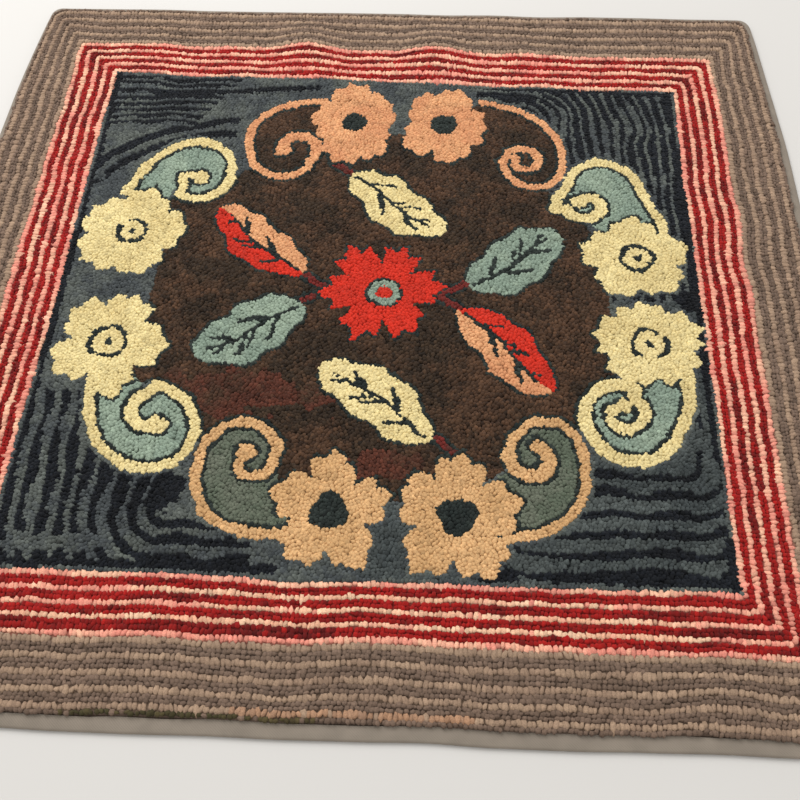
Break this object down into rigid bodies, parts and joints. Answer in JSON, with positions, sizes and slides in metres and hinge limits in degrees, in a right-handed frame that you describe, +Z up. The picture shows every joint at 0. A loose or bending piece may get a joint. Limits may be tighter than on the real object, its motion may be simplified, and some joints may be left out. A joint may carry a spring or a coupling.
{
  "type": "hooked rug",
  "caption": "Square hooked wool rug with a ribbed striped border, a flower field and cotton edge tape.",
  "frame": {"origin": "middle of the rug's box on the floor, at the bottom", "axes": "+Z up from the floor, +X to the right and +Y to the far, rippled edge as the picture shows the rug"},
  "size_m": [0.914, 0.921, 0.0174],
  "materials": {
    "wool_pile": "matt hooked wool loops, dyed in rows and motifs",
    "cotton_tape": "matt cotton twill tape"
  },
  "bodies": {
    "root": {"hooked_pile": "wool_pile", "binding_tape": "cotton_tape"}
  },
  "joints": []
}
